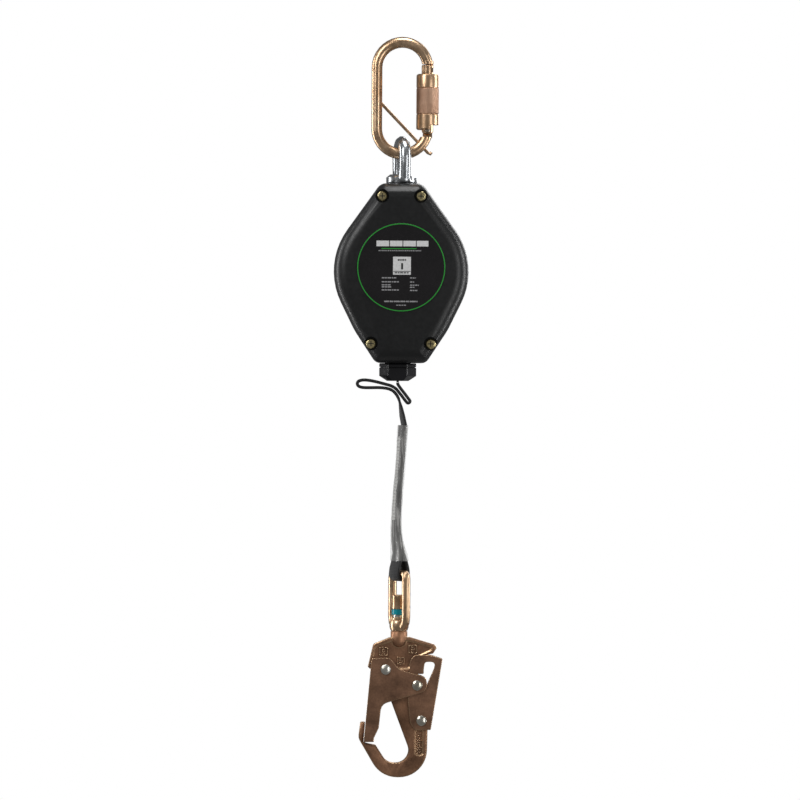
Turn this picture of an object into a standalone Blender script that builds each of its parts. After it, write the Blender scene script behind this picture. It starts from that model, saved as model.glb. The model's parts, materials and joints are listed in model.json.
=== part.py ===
"""Self retracting lifeline: anchor carabiner, swivel eye, web drum in a casing, web and snap hook.

Every size is in millimetres and is turned into metres by the helpers. The origin is the point where the
anchor carabiner hangs, the inner top of its upper bend. The label faces -Y and +Z is up.
"""
import math

import bmesh
import bpy
from mathutils import Matrix, Vector

MM = 0.001
GAP = 0.3                      # between pieces that touch or run on each other

# anchor carabiner
BAR_R = 5.25                   # frame bar
BEND_R = 23.6                  # centre line of both bends, and half the width
UPPER_BEND_Z = BAR_R - BEND_R
LOWER_BEND_Z = -75.05
GATE_X = BEND_R
GATE_R = 5.75
GATE_PIN_Z = -76.3
GATE_TOP_Z = -15.7
NOSE_Z = -15.0
LATCH_PIN_Z = -20.6
SLEEVE_R = 10.5
TONGUE_HALF = 2.0              # nose and hinge tongues, along Y

# swivel eye
LOAD_BAR_Z = LOWER_BEND_Z - BEND_R
EYE_BAR_R = 5.8
EYE_BEND_R = 14.4
EYE_TURN = 12.5                # degrees about Z
EYE_STEM_R = 6.0

# casing
CASE_TOP_Z = -126.5
CASE_BOTTOM_Z = -293.0
CASE_HALF = 33.0               # half the thickness
WALL = 3.0
TOP_SCREW = (17.9, -138.6)
BOTTOM_SCREW = (27.6, -275.3)
SCREW_SEAT_Y = -25.0
LABEL_R = 41.0
LABEL_Z = -204.7

# drum and its lock
DRUM_Z = -203.0
SHAFT_R = 6.0
HUB_R = 17.0
COIL_R = 47.0
FLANGE_R = 50.0
FLANGE_Y = 10.3                # inner face of each flange
FLANGE_T = 2.0
PLATE_Y = 20.0                 # inner face of each frame plate
PLATE_T = 2.0
PAWL_R = 19.0                  # pawl pins, from the shaft
RATCHET_R = 38.0

# web
WEB_W = 18.0
WEB_T = 2.3
NOZZLE_X = -2.7
NOZZLE_R = 17.25               # corners of the hexagon
NOZZLE_BOTTOM_Z = -309.7
SPAN_TOP_Z = -305.0            # the stretch of web that lengthens as the web pays out
SPAN_BOTTOM_Z = -311.0

# bail and swivel
BAIL_Z = -489.2                # bar that the web loop runs round
BAIL_TURN = 62.0               # degrees from +X towards -Y
BAIL_HALF = 13.5
BAIL_BAR_R = 4.0
STEM_R = 4.0

# snap hook: half thicknesses along Y, and pivots as (x, z)
BODY_HALF = 5.0
LEVER_HALF = 6.6
KEEPER_HALF = 8.4
KEEPER_PIVOT = (-12.1, -577.8)
LOCK_PIN = (17.1, -592.4)
LEVER_PIVOT = (21.3, -625.2)

FINISHES = {                   # colour, roughness, metallic
    "gold_zinc": ((0.72, 0.50, 0.33), 0.32, 1.0),
    "brown_zinc": ((0.42, 0.27, 0.18), 0.38, 1.0),
    "bright_zinc": ((0.72, 0.73, 0.74), 0.25, 1.0),
    "steel": ((0.50, 0.50, 0.50), 0.40, 1.0),
    "brass": ((0.60, 0.52, 0.28), 0.35, 1.0),
    "case_plastic": ((0.012, 0.012, 0.013), 0.45, 0.0),
    "nozzle_plastic": ((0.010, 0.010, 0.011), 0.20, 0.0),
    "label_film": ((0.014, 0.014, 0.015), 0.35, 0.0),
    "web_fabric": ((0.015, 0.015, 0.018), 0.85, 0.0),
    "clear_vinyl": ((0.55, 0.57, 0.60), 0.15, 0.0),
    "tag_card": ((0.05, 0.05, 0.06), 0.60, 0.0),
    "teal_band": ((0.0, 0.30, 0.36), 0.40, 0.0),
}


# ---- scene and materials

def clear_scene():
    for obj in list(bpy.data.objects):
        bpy.data.objects.remove(obj, do_unlink=True)


def collection(name):
    made = bpy.data.collections.new(name)
    bpy.context.scene.collection.children.link(made)
    return made


def material(name):
    made = bpy.data.materials.get(name)
    if made is None:
        colour, roughness, metallic = FINISHES[name]
        made = bpy.data.materials.new(name)
        made.use_nodes = True
        shader = made.node_tree.nodes["Principled BSDF"]
        shader.inputs["Base Color"].default_value = (*colour, 1.0)
        shader.inputs["Roughness"].default_value = roughness
        shader.inputs["Metallic"].default_value = metallic
    return made


# ---- outlines and routes

def rounded(corners, step=18.0):
    """Points of a closed outline, from corners (x, z, radius); large arcs take shorter steps."""
    points = []
    for index, (x, z, radius) in enumerate(corners):
        here = Vector((x, z))
        before = (Vector(corners[index - 1][:2]) - here).normalized()
        after = (Vector(corners[(index + 1) % len(corners)][:2]) - here).normalized()
        if radius == 0:
            points.append(here)
            continue
        half = before.angle(after) / 2
        centre = here + (before + after).normalized() * radius / math.sin(half)
        start = here + before * radius / math.tan(half) - centre
        turn = math.pi - 2 * half
        if before.x * after.y - before.y * after.x > 0:
            turn = -turn
        facet = step / 2.2 if radius >= 12 else step
        steps = max(1, round(abs(math.degrees(turn)) / facet))
        points += [centre + Matrix.Rotation(turn * k / steps, 2) @ start for k in range(steps + 1)]
    return points


def arc(centre, radius, first, last, steps):
    """Points (x, z) on an arc between two angles in degrees, counted from +X towards +Z."""
    angles = [math.radians(first + (last - first) * k / steps) for k in range(steps + 1)]
    return [(centre[0] + radius * math.cos(a), centre[1] + radius * math.sin(a)) for a in angles]


def circle(centre, radius, steps=16):
    return arc(centre, radius, 0, 360 - 360 / steps, steps - 1)


def smooth(points, samples):
    """Points along the smooth curve through the given tuples, with that many steps for each stretch."""
    made = []
    for index in range(len(points) - 1):
        a = points[max(index - 1, 0)]
        b, c = points[index], points[index + 1]
        d = points[min(index + 2, len(points) - 1)]
        for k in range(samples):
            t = k / samples
            made.append(tuple(0.5 * (2 * q + (r - p) * t + (2 * p - 5 * q + 4 * r - s) * t ** 2
                                     + (3 * q - p - 3 * r + s) * t ** 3)
                              for p, q, r, s in zip(a, b, c, d)))
    return made + [tuple(points[-1])]


# ---- pieces

def finished(obj, finish):
    """Give a new object its material and smooth shading, and put it in the part's collection."""
    parts.objects.link(obj)
    obj.data.materials.clear()
    obj.data.materials.append(material(finish))
    if obj.type == "MESH":
        obj.data.shade_smooth()
        obj.data.set_sharp_from_angle(angle=math.radians(35))
    return obj


def from_bmesh(name, shape, finish):
    bmesh.ops.scale(shape, vec=(MM, MM, MM), verts=shape.verts)
    bmesh.ops.recalc_face_normals(shape, faces=shape.faces)
    mesh = bpy.data.meshes.new(name)
    shape.to_mesh(mesh)
    shape.free()
    return finished(bpy.data.objects.new(name, mesh), finish)


def box(name, low, high, finish="steel"):
    shape = bmesh.new()
    bmesh.ops.create_cube(shape, size=1.0)
    size = Vector(high) - Vector(low)
    bmesh.ops.scale(shape, vec=size, verts=shape.verts)
    bmesh.ops.translate(shape, vec=(Vector(high) + Vector(low)) / 2, verts=shape.verts)
    return from_bmesh(name, shape, finish)


def rod(name, start, end, radius, finish="steel", sides=16):
    """A round rod between two points."""
    start, end = Vector(start), Vector(end)
    shape = bmesh.new()
    bmesh.ops.create_cone(shape, cap_ends=True, segments=sides, radius1=radius, radius2=radius,
                          depth=(end - start).length)
    turn = (end - start).to_track_quat("Z", "Y").to_matrix().to_4x4()
    bmesh.ops.transform(shape, matrix=Matrix.Translation((start + end) / 2) @ turn, verts=shape.verts)
    return from_bmesh(name, shape, finish)


def turned(name, profile, finish, at=(0, 0), along="Z", steps=24, ring=False):
    """A turned piece. The profile (radius, distance along the axis) runs down its outer side."""
    mesh = bpy.data.meshes.new(name)
    verts = [(r * MM, 0, h * MM) for r, h in profile]
    edges = [(k, k + 1) for k in range(len(profile) - 1)]
    if ring:
        edges.append((len(profile) - 1, 0))
    mesh.from_pydata(verts, edges, [])
    obj = finished(bpy.data.objects.new(name, mesh), finish)
    if along == "Z":
        obj.location = (at[0] * MM, at[1] * MM, 0)
    else:
        obj.location = (at[0] * MM, 0, at[1] * MM)
        obj.rotation_euler = (-math.pi / 2, 0, 0)
    screw = obj.modifiers.new("turn", "SCREW")
    screw.steps = steps
    screw.render_steps = steps
    screw.use_merge_vertices = True
    screw.merge_threshold = 0.00001
    return obj


def ring_profile(inner, outer, top, bottom):
    return [(outer, top), (outer, bottom), (inner, bottom), (inner, top)]


def from_curve(curve_obj):
    """The curve's own shape as a mesh object with its caps welded on."""
    bpy.context.view_layer.update()
    evaluated = curve_obj.evaluated_get(bpy.context.evaluated_depsgraph_get())
    mesh = bpy.data.meshes.new_from_object(evaluated)
    shape = bmesh.new()
    shape.from_mesh(mesh)
    bmesh.ops.remove_doubles(shape, verts=shape.verts, dist=0.000002)
    bmesh.ops.recalc_face_normals(shape, faces=shape.faces)
    shape.to_mesh(mesh)
    shape.free()
    name, finish = curve_obj.name, curve_obj.data.materials[0].name
    obj = bpy.data.objects.new(name + "_mesh", mesh)
    obj.matrix_world = curve_obj.matrix_world
    bpy.data.objects.remove(curve_obj, do_unlink=True)
    obj.name = name
    return finished(obj, finish)


def spline(curve, points, cyclic):
    line = curve.splines.new("POLY")
    line.points.add(len(points) - 1)
    for point, place in zip(line.points, points):
        point.co = (*(Vector(place).to_3d() * MM), 1.0)
    line.use_cyclic_u = cyclic


def tube(name, points, radius, finish, resolution=2):
    """A wire or bar of round section along a row of points (x, y, z)."""
    curve = bpy.data.curves.new(name, "CURVE")
    curve.dimensions = "3D"
    curve.bevel_depth = radius * MM
    curve.bevel_resolution = resolution
    curve.use_fill_caps = True
    spline(curve, points, False)
    return from_curve(finished(bpy.data.objects.new(name, curve), finish))


def plate(name, outline, low, high, finish, holes=(), bevel=0.0):
    """A flat piece with an outline (x, z), from y = low to y = high."""
    curve = bpy.data.curves.new(name, "CURVE")
    curve.dimensions = "2D"
    curve.fill_mode = "BOTH"
    curve.extrude = (high - low) / 2 * MM
    spline(curve, outline, True)
    for hole in holes:
        spline(curve, hole, True)
    obj = finished(bpy.data.objects.new(name, curve), finish)
    obj.location = (0, (low + high) / 2 * MM, 0)
    obj.rotation_euler = (math.pi / 2, 0, 0)
    obj = from_curve(obj)
    if bevel:
        edge = obj.modifiers.new("edge", "BEVEL")
        edge.width = bevel * MM
        edge.segments = 1
        edge.limit_method = "ANGLE"
        edge.angle_limit = math.radians(60)
    return obj


def loft(name, rings, finish, closed=False):
    """A skin over rings of equally many points, capped at both ends or closed into a loop."""
    shape = bmesh.new()
    rows = [[shape.verts.new(point) for point in ring] for ring in rings]
    count = len(rings[0])
    pairs = list(zip(rows, rows[1:]))
    if closed:
        pairs.append((rows[-1], rows[0]))
    else:
        shape.faces.new(rows[0])
        shape.faces.new(rows[-1])
    for upper, lower in pairs:
        for k in range(count):
            shape.faces.new((upper[k], upper[(k + 1) % count], lower[(k + 1) % count], lower[k]))
    return from_bmesh(name, shape, finish)


def combine(target, tool, operation):
    """Join a tool to a target or cut it out, and keep the tool among the cutters."""
    step = target.modifiers.new(operation.lower(), "BOOLEAN")
    step.operation = operation
    step.solver = "EXACT"
    step.object = tool
    tool.hide_render = True
    tool.display_type = "WIRE"
    parts.objects.unlink(tool)
    cutters.objects.link(tool)


def cut(target, *tools):
    for tool in tools:
        combine(target, tool, "DIFFERENCE")


def join(target, *tools):
    for tool in tools:
        combine(target, tool, "UNION")


def across(name, centre, radius, reach, sides=16):
    """A cutting rod along Y, centred on (x, z)."""
    return rod(name, (centre[0], -reach, centre[1]), (centre[0], reach, centre[1]), radius, sides=sides)


def rivet(name, centre, radius, half, finish="bright_zinc"):
    """A headed rivet along Y whose heads sit just outside y = -half and y = half."""
    seat = half + GAP
    dome = [(0, seat + 2.0), (3.4, seat + 1.5), (4.9, seat + 0.5), (4.9, seat)]
    profile = dome + [(radius, seat), (radius, -seat)] + [(r, -h) for r, h in reversed(dome)]
    return turned(name, profile, finish, at=centre, along="Y", steps=12)


def helix(name, start, direction, radius, wire, length, turns, finish="steel"):
    """A compression spring along X or Z from its start point."""
    steps = 8
    points = []
    for k in range(int(turns * steps) + 1):
        angle = math.tau * k / steps
        along = length * k / (turns * steps)
        side, other = radius * math.cos(angle), radius * math.sin(angle)
        if direction == "X":
            points.append((start[0] + along, start[1] + side, start[2] + other))
        else:
            points.append((start[0] + side, start[1] + other, start[2] + along))
    return tube(name, points, wire, finish, resolution=0)


# ---- anchor carabiner

def carabiner_route():
    """Centre line of the frame bar: hinge shoulder, lower bend, spine, upper bend, nose."""
    lower = arc((0, LOWER_BEND_Z), BEND_R, -12, -180, 18)
    upper = arc((0, UPPER_BEND_Z), BEND_R, 180, 0, 18)
    return [(x, 0, z) for x, z in lower + upper]


def captive_pin_point(distance):
    """A point on the captive pin's axis, measured from the spine's inner side."""
    lean = math.radians(46.4)
    return (-18.35 + distance * math.cos(lean), 0, -52.8 - distance * math.sin(lean))


def build_carabiner():
    frame = tube("carabiner_frame", carabiner_route(), BAR_R, "gold_zinc", resolution=3)
    shoulder = box("cut_shoulder", (14.0, -9, GATE_PIN_Z - 6.4), (34.0, 9, -64.0))
    nose_end = box("cut_nose", (17.0, -9, -30.0), (32.0, 9, NOSE_Z))
    hinge = plate("add_hinge", rounded([(GATE_X - 4.4, -85.5, 0), (GATE_X - 4.4, GATE_PIN_Z + 4.4, 4.2),
                                        (GATE_X + 4.4, GATE_PIN_Z + 4.4, 4.2), (GATE_X + 4.4, -83.5, 0)]),
                  -TONGUE_HALF, TONGUE_HALF, "gold_zinc")
    nose = plate("add_nose", rounded([(21.6, -12.0, 0), (21.6, -23.0, 1.0), (28.6, -23.0, 1.5),
                                      (28.6, -12.0, 0)]), -TONGUE_HALF, TONGUE_HALF, "gold_zinc")
    nose_bar = rod("add_nose_bar", (GATE_X, 0, UPPER_BEND_Z + 6), (GATE_X, 0, NOSE_Z), 5.6, sides=12)
    cut(frame, shoulder, nose_end)
    join(frame, hinge, nose, nose_bar)
    cut(frame, across("cut_hinge_pin", (GATE_X, GATE_PIN_Z), 1.8 + GAP, 9, 12),
        across("cut_latch_pin", (25.0, LATCH_PIN_Z), 1.5 + GAP, 9, 12),
        rod("cut_captive", captive_pin_point(-3.2), captive_pin_point(70), 1.5 + GAP, sides=12))
    rod("carabiner_gate_rivet", (GATE_X, -5.3, GATE_PIN_Z), (GATE_X, 5.3, GATE_PIN_Z), 1.8, sides=12)
    rod("carabiner_latch_pin", (25.0, -4.0, LATCH_PIN_Z), (25.0, 4.0, LATCH_PIN_Z), 1.5, "gold_zinc", 12)
    tail = captive_pin_point(61.5)
    tube("captive_pin", [captive_pin_point(d) for d in (-2.6, 20, 40, 59)]
         + [tail, (tail[0] + 2.2, 0, tail[2] - 1.2), (tail[0] + 3.4, 0, tail[2] + 0.6)], 1.5, "gold_zinc")


def build_gate():
    low = GATE_PIN_Z
    profile = [(0, GATE_TOP_Z), (4.9, GATE_TOP_Z), (GATE_R, GATE_TOP_Z - 0.8), (GATE_R, low - 1.4),
               (4.6, low - 3.6), (2.6, low - 5.0), (0, low - 5.3)]
    gate = turned("carabiner_gate", profile, "gold_zinc", at=(GATE_X, 0), steps=16)
    fork = TONGUE_HALF + GAP
    cut(gate, box("cut_tip_slot", (GATE_X - 2.9, -fork, -25.0), (GATE_X + 9, fork, -14.0)),
        box("cut_tip_pocket", (GATE_X - 1.4, -4.7, LATCH_PIN_Z - 2.4), (GATE_X + 9, 4.7, LATCH_PIN_Z + 2.4)),
        box("cut_hinge_slot", (GATE_X - 9, -fork, low - 9), (GATE_X + 9, fork, low + 5.9)),
        rod("cut_spring_bore", (GATE_X, 0, low + 4), (GATE_X, 0, low + 34), 2.6, sides=12),
        across("cut_gate_pin", (GATE_X, low), 1.8 + GAP, 9, 12))
    turned("gate_plunger", [(0, low + 12), (2.1, low + 12), (2.1, low + 5.6), (1.2, low + 4.9),
                            (0, low + 4.8)],
           "steel", at=(GATE_X, 0), steps=10)
    helix("gate_spring", (GATE_X, 0, low + 13.2), "Z", 1.6, 0.4, 18.0, 5)


def build_sleeve():
    inner, top, low = GATE_R + GAP, -24.2, -76.1
    outer = [(SLEEVE_R - 1.6, top), (SLEEVE_R - 0.4, top - 0.7), (SLEEVE_R, top - 1.9)]
    for band in (-37.2, -61.4):
        outer += [(SLEEVE_R, band + 0.6), (SLEEVE_R - 0.5, band + 0.2), (SLEEVE_R - 0.5, band - 0.2),
                  (SLEEVE_R, band - 0.6)]
    outer += [(SLEEVE_R, low + 1.2), (SLEEVE_R - 1.0, low)]
    sleeve = turned("carabiner_sleeve", outer + [(inner, low), (inner, top)], "gold_zinc", at=(GATE_X, 0),
                    steps=20, ring=True)
    cut(sleeve, box("cut_skirt", (GATE_X + 1.5, -12, low - 2), (GATE_X + 12, 12, -71.5)))


# ---- swivel eye and its fixing

def build_eye():
    bend_z = LOAD_BAR_Z + BAR_R - GAP - EYE_BEND_R + EYE_BAR_R + 0.25
    bend = arc((0, bend_z), EYE_BEND_R, 0, 180, 10)
    route = [(0, EYE_BEND_R - 1.5, -121.5)] + [(0, y, z) for y, z in bend] + [(0, -EYE_BEND_R + 1.5, -121.5)]
    spin = Matrix.Rotation(math.radians(EYE_TURN), 3, "Z")
    eye = tube("swivel_eye", [spin @ Vector(point) for point in route], EYE_BAR_R, "bright_zinc",
               resolution=3)
    stem = turned("add_stem", [(0, -117.6), (11.0, -117.8), (14.5, -120.6), (14.5, -125.4), (13.8, -126.2),
                               (EYE_STEM_R, -126.2), (EYE_STEM_R, -151.3), (5.2, -152.1), (0, -152.1)],
                  "bright_zinc", steps=24)
    join(eye, stem)
    nut = turned("eye_nut", [(0, -146.2), (9.4, -146.2), (9.4, -151.4), (0, -151.4)], "bright_zinc", steps=6)
    cut(nut, rod("cut_nut", (0, 0, -140), (0, 0, -160), EYE_STEM_R + GAP, sides=16))
    turned("eye_washer", ring_profile(EYE_STEM_R + GAP, 10.0, -144.3, -145.9), "steel", steps=20, ring=True)
    block = box("anchor_block", (-12.6, GAP - PLATE_Y, -144.0), (12.6, PLATE_Y - GAP, -133.0))
    cut(block, rod("cut_block", (0, 0, -120), (0, 0, -160), EYE_STEM_R + GAP, sides=24))


# ---- casing

def case_outline(inset):
    """The casing's outline, moved inwards by the inset, with the same number of points each time."""
    right = [(19.4, CASE_TOP_Z, 10.0), (73.1, -201.8, 66.0), (43.2, -263.0, 50.0),
             (23.4, CASE_BOTTOM_Z, 8.0)]
    centre = Vector((0, DRUM_Z))
    corners = right + [(-x, z, radius) for x, z, radius in reversed(right)]
    moved = []
    for index, (x, z, radius) in enumerate(corners):
        here = Vector((x, z))
        before = (here - Vector(corners[index - 1][:2])).normalized()
        after = (Vector(corners[(index + 1) % len(corners)][:2]) - here).normalized()
        inward = (after - before).normalized()
        if inward.dot(centre - here) < 0:
            inward = -inward
        half_angle = (-before).angle(after) / 2
        place = here + inward * inset / math.sin(half_angle)
        moved.append((place.x, place.y, max(radius - inset, 1.0)))
    return rounded(moved, step=14.0)


def case_solid(name, rows, side):
    """A casing half from rows (inset, distance from the parting plane); side is -1 in front."""
    rings = [[(p.x, side * y, p.y) for p in case_outline(inset)] for inset, y in rows]
    return loft(name, rings, "case_plastic")


def screw_places():
    return [(side * x, z) for x, z in (TOP_SCREW, BOTTOM_SCREW) for side in (-1, 1)]


def build_cover(name, side):
    parting = GAP / 2
    outer = [(0, parting), (0, 19.5), (1.4, 25.5), (4.0, 29.6), (8.0, 32.2), (12.5, CASE_HALF)]
    inner = [(WALL, parting - 1), (WALL, 19.0), (5.4, 26.0), (12.0, CASE_HALF - WALL)]
    cover = case_solid(name, outer, side)
    hollow = case_solid("cut_hollow_" + name, inner, side)
    for number, (x, z) in enumerate(screw_places()):
        tag = f"_{name}_{number}"
        boss = [(x, 0, z), (x, side * 40, z)]
        cut(hollow, rod("boss" + tag, boss[0], boss[1], 4.5, sides=10))
        if side < 0:
            cut(hollow, rod("seat" + tag, (x, -22.6, z), boss[1], 8.0, sides=12))
    cut(cover, hollow)
    for number, (x, z) in enumerate(screw_places()):
        tag = f"_{name}_{number}"
        if side < 0:
            cut(cover, rod("pocket" + tag, (x, SCREW_SEAT_Y, z), (x, -40, z), 6.5, sides=16),
                rod("hole" + tag, (x, 5, z), (x, -30, z), 2.3, sides=8))
        else:
            cut(cover, rod("hole" + tag, (x, -5, z), (x, 16, z), 2.3, sides=8))
    cut(cover, rod("cut_eye_hole_" + name, (0, 0, -120), (0, 0, -135), EYE_STEM_R + 2 * GAP, sides=20),
        rod("cut_nozzle_hole_" + name, (NOZZLE_X, 0, -280), (NOZZLE_X, 0, -300), 12.4, sides=20))


def build_case():
    build_cover("front_cover", -1)
    build_cover("rear_cover", 1)
    for number, place in enumerate(screw_places(), start=1):
        seat = SCREW_SEAT_Y - GAP
        turned(f"cover_screw_{number}", [(0, 14), (2.0, 14), (2.0, seat), (4.9, seat), (4.9, seat - 2.4),
                                         (3.8, seat - 3.2), (0, seat - 3.2)], "brass", at=place,
                                         along="Y", steps=12)
    label = [(0, -CASE_HALF - GAP), (LABEL_R, -CASE_HALF - GAP), (LABEL_R, -CASE_HALF - GAP - 0.6),
             (0, -CASE_HALF - GAP - 0.6)]
    turned("label_plate", label, "label_film", at=(0, LABEL_Z), along="Y", steps=48)


# ---- nozzle and the web inside the casing

def hexagon(z, wide, deep):
    angles = [math.radians(60 * k) for k in range(6)]
    return [(NOZZLE_X + NOZZLE_R * wide * math.cos(a), NOZZLE_R * deep * math.sin(a), z) for a in angles]


def build_nozzle():
    rows = [(CASE_BOTTOM_Z - GAP, 0.97, 0.97), (CASE_BOTTOM_Z - 1.0, 1.0, 1.0), (-296.5, 1.0, 1.0),
            (-296.8, 0.94, 0.94), (-297.2, 0.94, 0.94), (-297.5, 1.0, 1.0), (SPAN_TOP_Z, 1.0, 1.0),
            (NOZZLE_BOTTOM_Z, 0.58, 0.88)]
    nozzle = loft("web_nozzle", [hexagon(*row) for row in rows], "nozzle_plastic")
    neck = turned("add_neck", [(0, -284.6), (14.6, -284.6), (14.6, -288.6), (12.0, -288.6), (12.0, -294.0),
                               (0, -294.0)], "nozzle_plastic", at=(NOZZLE_X, 0), steps=20)
    join(nozzle, neck)
    half_w, half_t = WEB_W / 2 + 1.2, WEB_T / 2 + 1.9
    cut(nozzle, box("cut_slot", (NOZZLE_X - half_t, -half_w, -320), (NOZZLE_X + half_t, half_w, -270)))
    for side, name in ((-1, "left"), (1, "right")):
        x = NOZZLE_X + side * (WEB_T / 2 + GAP + 3.0)
        rod(f"web_guide_pin_{name}", (x, -29.5, -279.0), (x, 29.5, -279.0), 3.0, sides=12)


def strip(name, route, finish="web_fabric", width=WEB_W, thick=WEB_T):
    """A flat web along a route of (x, y, z, turn), where turn swings its width from -Y towards +X."""
    rings = []
    for index, (x, y, z, turn) in enumerate(route):
        here = Vector((x, y, z))
        ahead = Vector(route[min(index + 1, len(route) - 1)][:3]) - Vector(route[max(index - 1, 0)][:3])
        angle = math.radians(turn)
        across_web = Vector((math.sin(angle), -math.cos(angle), 0)) * width / 2
        through = ahead.cross(across_web).normalized() * thick / 2
        rings.append([here + across_web + through, here - across_web + through,
                      here - across_web - through, here + across_web - through])
    return loft(name, rings, finish)


def build_inner_web():
    lead = COIL_R + GAP + WEB_T / 2
    wrap = [(x, z + DRUM_Z) for x, z in arc((0, 0), lead, 180, 215, 4)]
    down = [(-3.6, -276.3), (-2.9, -277.7), (NOZZLE_X, -279.5), (NOZZLE_X, -287), (NOZZLE_X, -304.7)]
    strip("web_inner_run", [(x, 0, z, 0) for x, z in wrap + down])
    x, half = NOZZLE_X, WEB_T / 2
    box("web_payout_span", (x - half, -WEB_W / 2, SPAN_BOTTOM_Z), (x + half, WEB_W / 2, SPAN_TOP_Z),
        "web_fabric")


# ---- drum, frame and speed lock

def build_drum():
    bore = SHAFT_R + 2 * GAP + 1.6
    axis = (0, DRUM_Z)
    turned("drum_hub", ring_profile(bore, HUB_R, 10.0, -10.0), "steel", axis, "Y", 24, True)
    turned("web_coil", ring_profile(HUB_R + GAP, COIL_R, WEB_W / 2, -WEB_W / 2), "web_fabric", axis, "Y",
           24, True)
    for side, name in ((-1, "front"), (1, "rear")):
        near, far = side * FLANGE_Y, side * (FLANGE_Y + FLANGE_T)
        flange = ring_profile(bore, FLANGE_R, max(near, far), min(near, far))
        turned(f"drum_flange_{name}", flange, "steel", axis, "Y", 24, True)
        ends = sorted((side * 1.0, side * 12.0))
        turned(f"drum_bush_{name}", ring_profile(SHAFT_R + GAP, bore - GAP, ends[1], ends[0]), "brass",
               axis, "Y",
               16, True)


def build_frame():
    outline = rounded([(-12.6, -133.0, 2), (12.6, -133.0, 2), (12.6, -146.0, 4), (22.0, -170.0, 8),
                       (22.0, -228.0, 10), (-22.0, -228.0, 10), (-22.0, -170.0, 8), (-12.6, -146.0, 4)], 30)
    for side, name in ((-1, "front"), (1, "rear")):
        low, high = sorted((side * PLATE_Y, side * (PLATE_Y + PLATE_T)))
        plate(f"frame_plate_{name}", outline, low, high, "steel",
              holes=[circle((0, DRUM_Z), SHAFT_R + GAP, 16)])
        near, far = sorted((side * (PLATE_Y + PLATE_T + GAP), side * (PLATE_Y + PLATE_T + GAP + 1.5)))
        turned(f"shaft_ring_{name}", ring_profile(SHAFT_R + GAP, 8.5, far, near), "steel", (0, DRUM_Z),
               "Y", 16, True)
    turned("main_shaft", [(0, 26), (5.4, 26), (SHAFT_R, 25.4), (SHAFT_R, -25.4), (5.4, -26), (0, -26)],
           "steel",
           (0, DRUM_Z), "Y", 16)


def pawl_outline(spin):
    """A pawl that trails from its pin at the top of the drum, turned about the shaft."""
    corners = [(-4.5, PAWL_R + 3.5, 3), (6, PAWL_R + 4.8, 0), (15.5, PAWL_R + 3.4, 1),
               (14.5, PAWL_R - 1.0, 2),
               (4, PAWL_R - 4.5, 4), (-4.5, PAWL_R - 4.0, 3)]
    turn = Matrix.Rotation(math.radians(spin), 2)
    return [turn @ point + Vector((0, DRUM_Z)) for point in rounded(corners, 45)]


def ratchet_teeth():
    """Sawtooth inner edge of the lock ring."""
    teeth = 12
    points = []
    for k in range(teeth):
        for share, radius in ((0.0, RATCHET_R - 4.0), (0.12, RATCHET_R), (0.7, RATCHET_R - 1.0)):
            angle = math.tau * (k + share) / teeth
            points.append((radius * math.cos(angle), DRUM_Z + radius * math.sin(angle)))
    return points


def build_lock():
    low = FLANGE_Y + FLANGE_T + GAP
    for spin, name in ((0, "a"), (180, "b")):
        turn = Matrix.Rotation(math.radians(spin), 2)
        x, z = turn @ Vector((0, PAWL_R)) + Vector((0, DRUM_Z))
        plate(f"pawl_{name}", pawl_outline(spin), low, low + 4.0, "steel", holes=[circle((x, z), 2.3, 10)])
        rod(f"pawl_pin_{name}", (x, low, z), (x, low + 4.8, z), 2.0, sides=10)
    plate("lock_ring", circle((0, DRUM_Z), RATCHET_R + 5, 32), low, PLATE_Y - GAP, "steel",
          holes=[ratchet_teeth()])


def build_retraction():
    axis = (0, DRUM_Z)
    back, front = -PLATE_Y + GAP, -(FLANGE_Y + FLANGE_T + GAP)
    cup = [(40.0, front - 1.4), (40.0, back), (SHAFT_R + GAP, back), (SHAFT_R + GAP, back + 1.0),
           (38.5, back + 1.0), (38.5, front - 1.4)]
    turned("spring_cup", cup, "steel", axis, "Y", 24, True)
    turned("spring_cover", ring_profile(11.0, 40.0, front, front - 1.1), "steel", axis, "Y", 24, True)
    turns, inner, pitch, thick = 3.25, 12.0, 7.4, 0.8
    steps = int(turns * 12)
    outside, inside = [], []
    for k in range(steps + 1):
        angle = math.tau * turns * k / steps
        radius = inner + pitch * turns * k / steps
        for side, points in ((0.5, outside), (-0.5, inside)):
            reach = radius + side * thick
            points.append((reach * math.cos(angle), DRUM_Z + reach * math.sin(angle)))
    plate("power_spring", outside + inside[::-1], back + 1.0 + GAP, front - 1.4 - GAP, "steel")


# ---- lifeline outside the casing

def stopper_route():
    """The folded and sewn stopper under the nozzle, as (x, y, z, turn)."""
    folds = [(0.0, -1.6), (0.4, -3.4), (2.6, -6.6), (5.7, -10.6), (8.7, -14.5), (11.1, -17.7), (11.6, -18.9),
             (10.9, -20.2), (9.6, -20.5), (8.4, -19.7), (6.0, -16.6), (3.0, -12.7), (0.6, -9.7),
             (-1.9, -7.0),
             (-6.0, -4.6), (-12.0, -2.9), (-19.0, -1.1), (-26.0, 0.3), (-32.0, 0.7), (-36.2, -0.4),
             (-37.5, -2.8), (-36.0, -5.2), (-32.0, -6.3), (-25.0, -6.4), (-17.0, -6.3), (-10.0, -7.0),
             (-5.4, -8.6), (-2.3, -11.2), (0.2, -14.8), (1.9, -19.2)]
    flat = [(NOZZLE_X + x, 0, NOZZLE_BOTTOM_Z + z, 0) for x, z in folds]
    return flat + [(0.6, 0, -335.3, 6), (1.9, 0, -342.7, 11)]


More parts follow.
